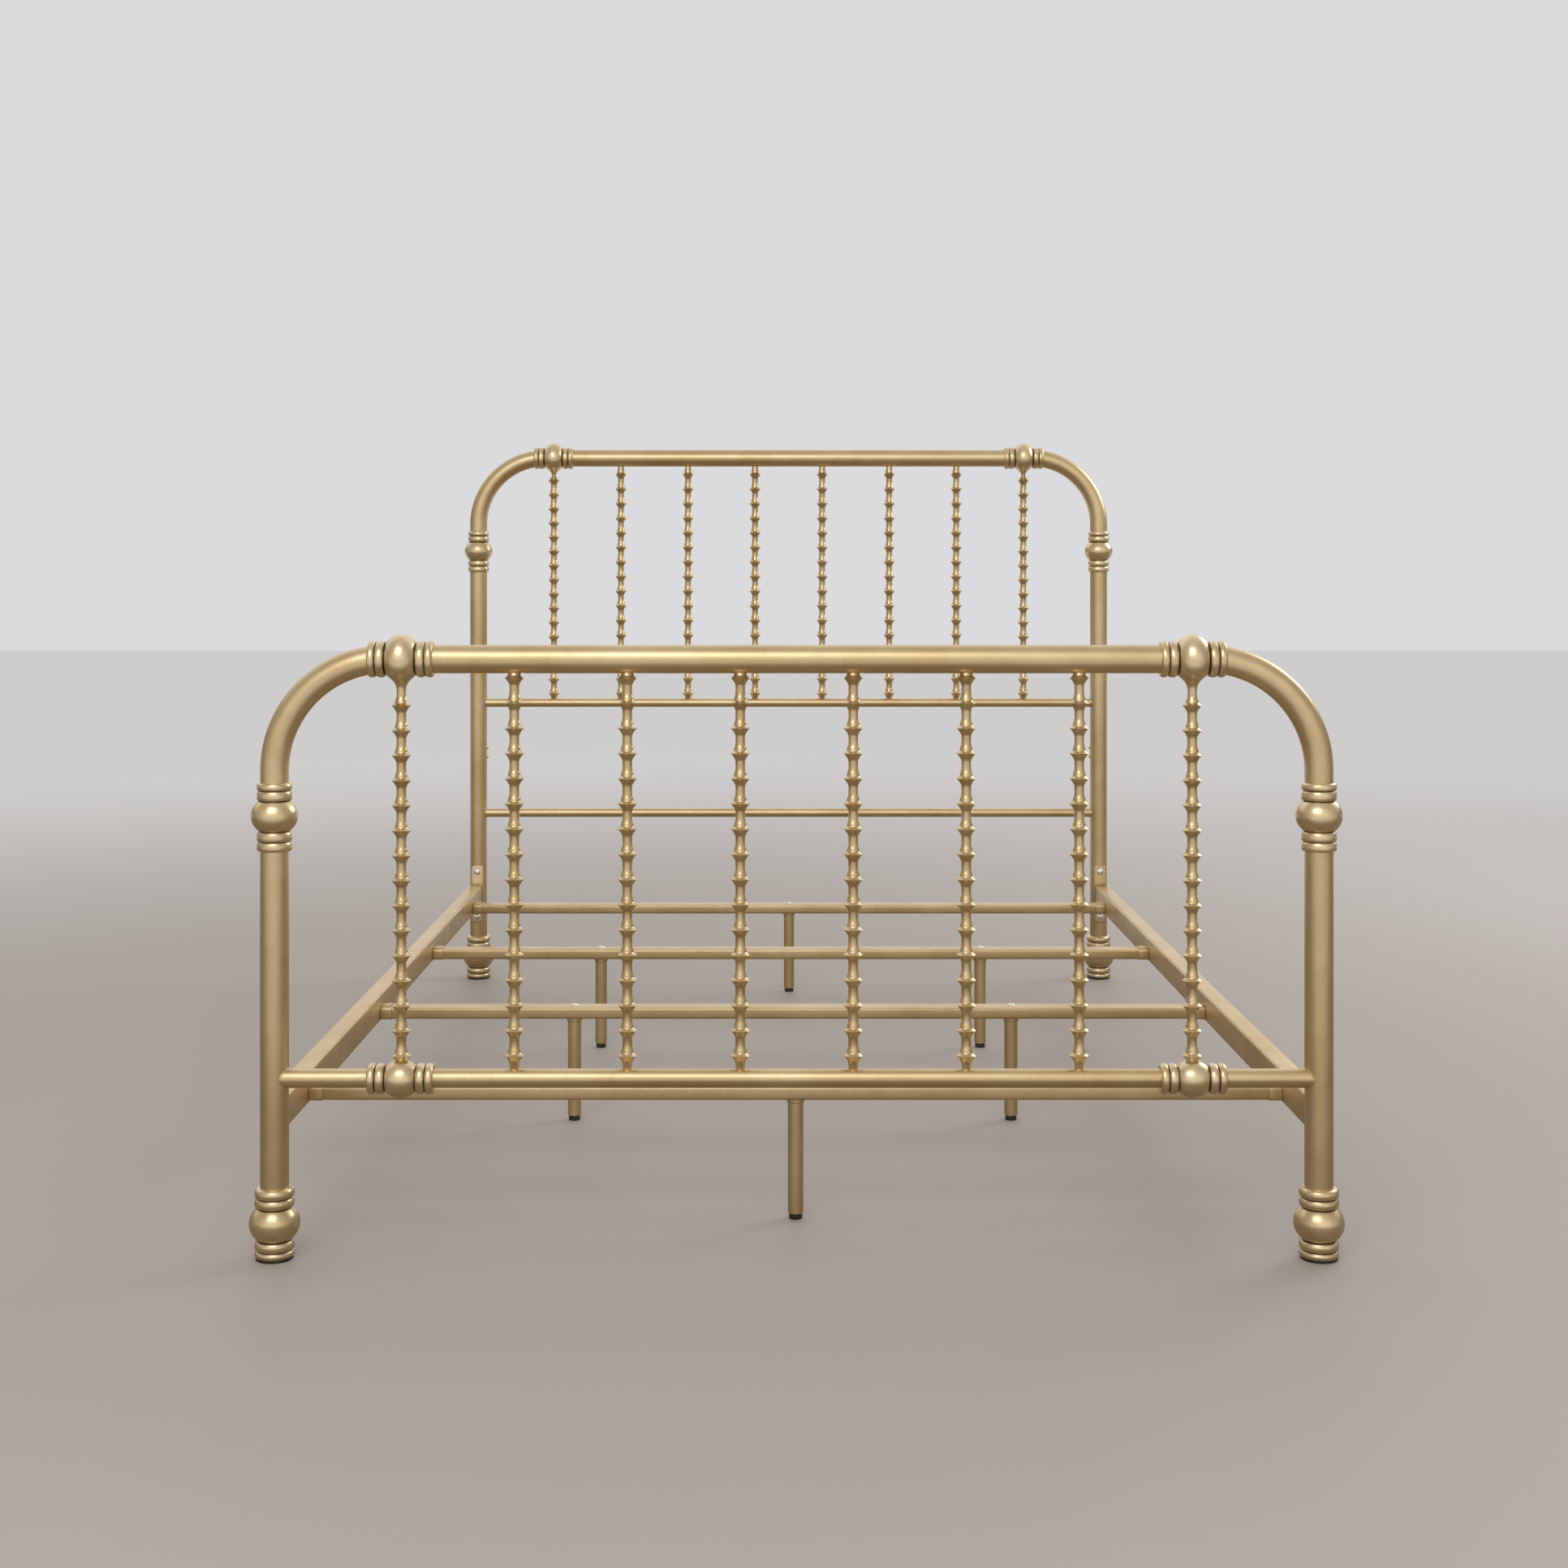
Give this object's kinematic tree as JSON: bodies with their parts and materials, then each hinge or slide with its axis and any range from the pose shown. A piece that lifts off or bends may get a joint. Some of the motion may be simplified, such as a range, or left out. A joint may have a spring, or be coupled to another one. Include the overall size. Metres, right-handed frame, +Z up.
{
  "type": "metal bed frame",
  "caption": "Full-size metal bed frame with arched tube headboard and footboard, beaded spindles, ball collars, side rails, cross slats and levelling support legs.",
  "frame": {"origin": "on the floor under the middle of the bed", "axes": "+Z up, +Y from the footboard to the headboard, +X to the right of someone at the footboard looking at the headboard"},
  "size_m": [1.4674, 2.0164, 1.2064],
  "materials": {
    "gold_tube": "satin metallic gold paint on bent steel tube",
    "gold_casting": "satin metallic gold paint on cast aluminium",
    "gold_spindle": "satin metallic gold paint on cast aluminium spindles",
    "gold_frame": "satin metallic gold paint on rails, slats and legs",
    "glide_plastic": "moulded dark plastic"
  },
  "bodies": {
    "frame": {"headboard_post_left": "gold_tube", "headboard_mid_collar_left": "gold_casting", "headboard_foot_left": "gold_casting", "headboard_top_collar_left": "gold_casting", "headboard_post_right": "gold_tube", "headboard_mid_collar_right": "gold_casting", "headboard_foot_right": "gold_casting", "headboard_top_collar_right": "gold_casting", "headboard_arch": "gold_tube", "headboard_spindle_1": "gold_spindle", "headboard_spindle_2": "gold_spindle", "headboard_spindle_3": "gold_spindle", "headboard_spindle_4": "gold_spindle", "headboard_spindle_5": "gold_spindle", "headboard_spindle_6": "gold_spindle", "headboard_spindle_7": "gold_spindle", "headboard_spindle_8": "gold_spindle", "footboard_post_left": "gold_tube", "footboard_mid_collar_left": "gold_casting", "footboard_foot_left": "gold_casting", "footboard_top_collar_left": "gold_casting", "footboard_post_right": "gold_tube", "footboard_mid_collar_right": "gold_casting", "footboard_foot_right": "gold_casting", "footboard_top_collar_right": "gold_casting", "footboard_arch": "gold_tube", "footboard_spindle_1": "gold_spindle", "footboard_spindle_2": "gold_spindle", "footboard_spindle_3": "gold_spindle", "footboard_spindle_4": "gold_spindle", "footboard_spindle_5": "gold_spindle", "footboard_spindle_6": "gold_spindle", "footboard_spindle_7": "gold_spindle", "footboard_spindle_8": "gold_spindle", "headboard_upper_rail": "gold_tube", "headboard_lower_rail": "gold_tube", "footboard_lower_rail": "gold_tube", "footboard_lower_collar_left": "gold_casting", "footboard_lower_collar_right": "gold_casting", "side_rail_left": "gold_frame", "side_rail_right": "gold_frame", "slat_1": "gold_frame", "slat_2": "gold_frame", "slat_3": "gold_frame", "slat_4": "gold_frame", "support_leg_1": "gold_frame", "support_leg_2": "gold_frame", "support_leg_3": "gold_frame", "support_leg_4": "gold_frame", "support_leg_5": "gold_frame", "support_leg_6": "gold_frame"},
    "glide_1": {"leg_glide_1": "glide_plastic"},
    "glide_2": {"leg_glide_2": "glide_plastic"},
    "glide_3": {"leg_glide_3": "glide_plastic"},
    "glide_4": {"leg_glide_4": "glide_plastic"},
    "glide_5": {"leg_glide_5": "glide_plastic"},
    "glide_6": {"leg_glide_6": "glide_plastic"}
  },
  "joints": [
    {"name": "glide_1_screw", "type": "slide", "parent": "frame", "child": "glide_1", "axis": [0, 0, -1], "range_m": [0, 0.012]},
    {"name": "glide_2_screw", "type": "slide", "parent": "frame", "child": "glide_2", "axis": [0, 0, -1], "range_m": [0, 0.012]},
    {"name": "glide_3_screw", "type": "slide", "parent": "frame", "child": "glide_3", "axis": [0, 0, -1], "range_m": [0, 0.012]},
    {"name": "glide_4_screw", "type": "slide", "parent": "frame", "child": "glide_4", "axis": [0, 0, -1], "range_m": [0, 0.012]},
    {"name": "glide_5_screw", "type": "slide", "parent": "frame", "child": "glide_5", "axis": [0, 0, -1], "range_m": [0, 0.012]},
    {"name": "glide_6_screw", "type": "slide", "parent": "frame", "child": "glide_6", "axis": [0, 0, -1], "range_m": [0, 0.012]}
  ]
}
